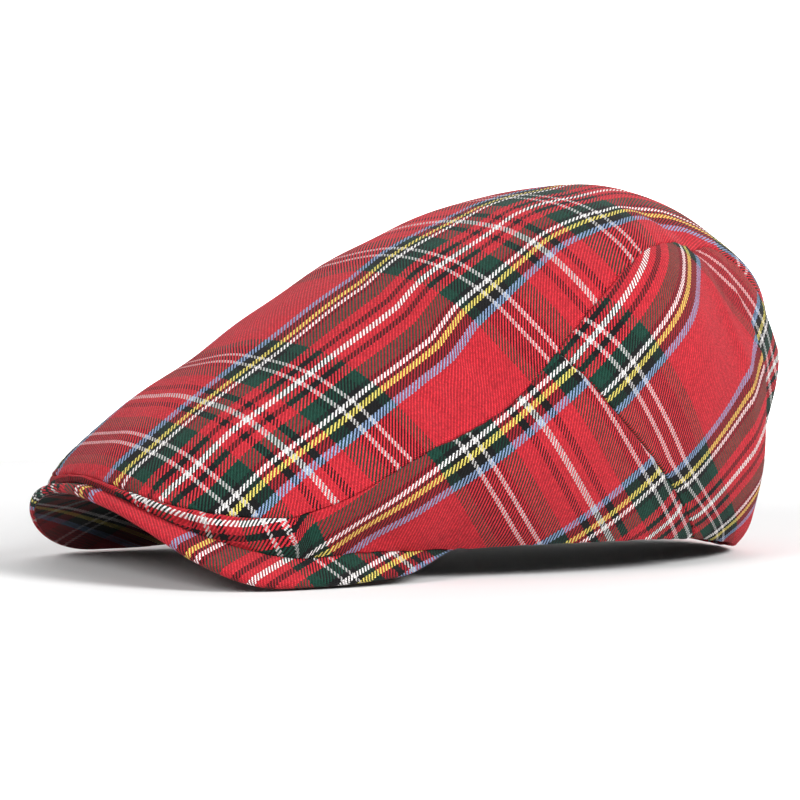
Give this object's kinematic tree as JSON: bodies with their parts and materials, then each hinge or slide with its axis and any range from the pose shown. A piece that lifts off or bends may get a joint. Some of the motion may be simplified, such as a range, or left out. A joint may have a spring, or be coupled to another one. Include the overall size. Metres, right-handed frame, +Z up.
{
  "type": "flat cap",
  "caption": "Tartan flat cap with a long top panel, slanting side seams, a stiff arched peak and a black sweatband and lining",
  "frame": {"origin": "on the surface the cap rests on, under the middle of its bounding box", "axes": "+Z up, the peak points to -Y, the wearer's left is +X"},
  "size_m": [0.1908, 0.2798, 0.136],
  "materials": {
    "tartan_cloth": "matt 2/2 twill, red tartan with green, black, white, yellow and blue",
    "band_cloth": "matt black cotton band with a fine rib",
    "lining_cloth": "black lining cloth with a soft satin sheen"
  },
  "bodies": {
    "root": {"top_panel": "tartan_cloth", "side_panel_left": "tartan_cloth", "side_panel_right": "tartan_cloth", "back_panel_left": "tartan_cloth", "back_panel_right": "tartan_cloth", "peak": "tartan_cloth", "sweatband": "band_cloth", "lining": "lining_cloth"}
  },
  "joints": []
}
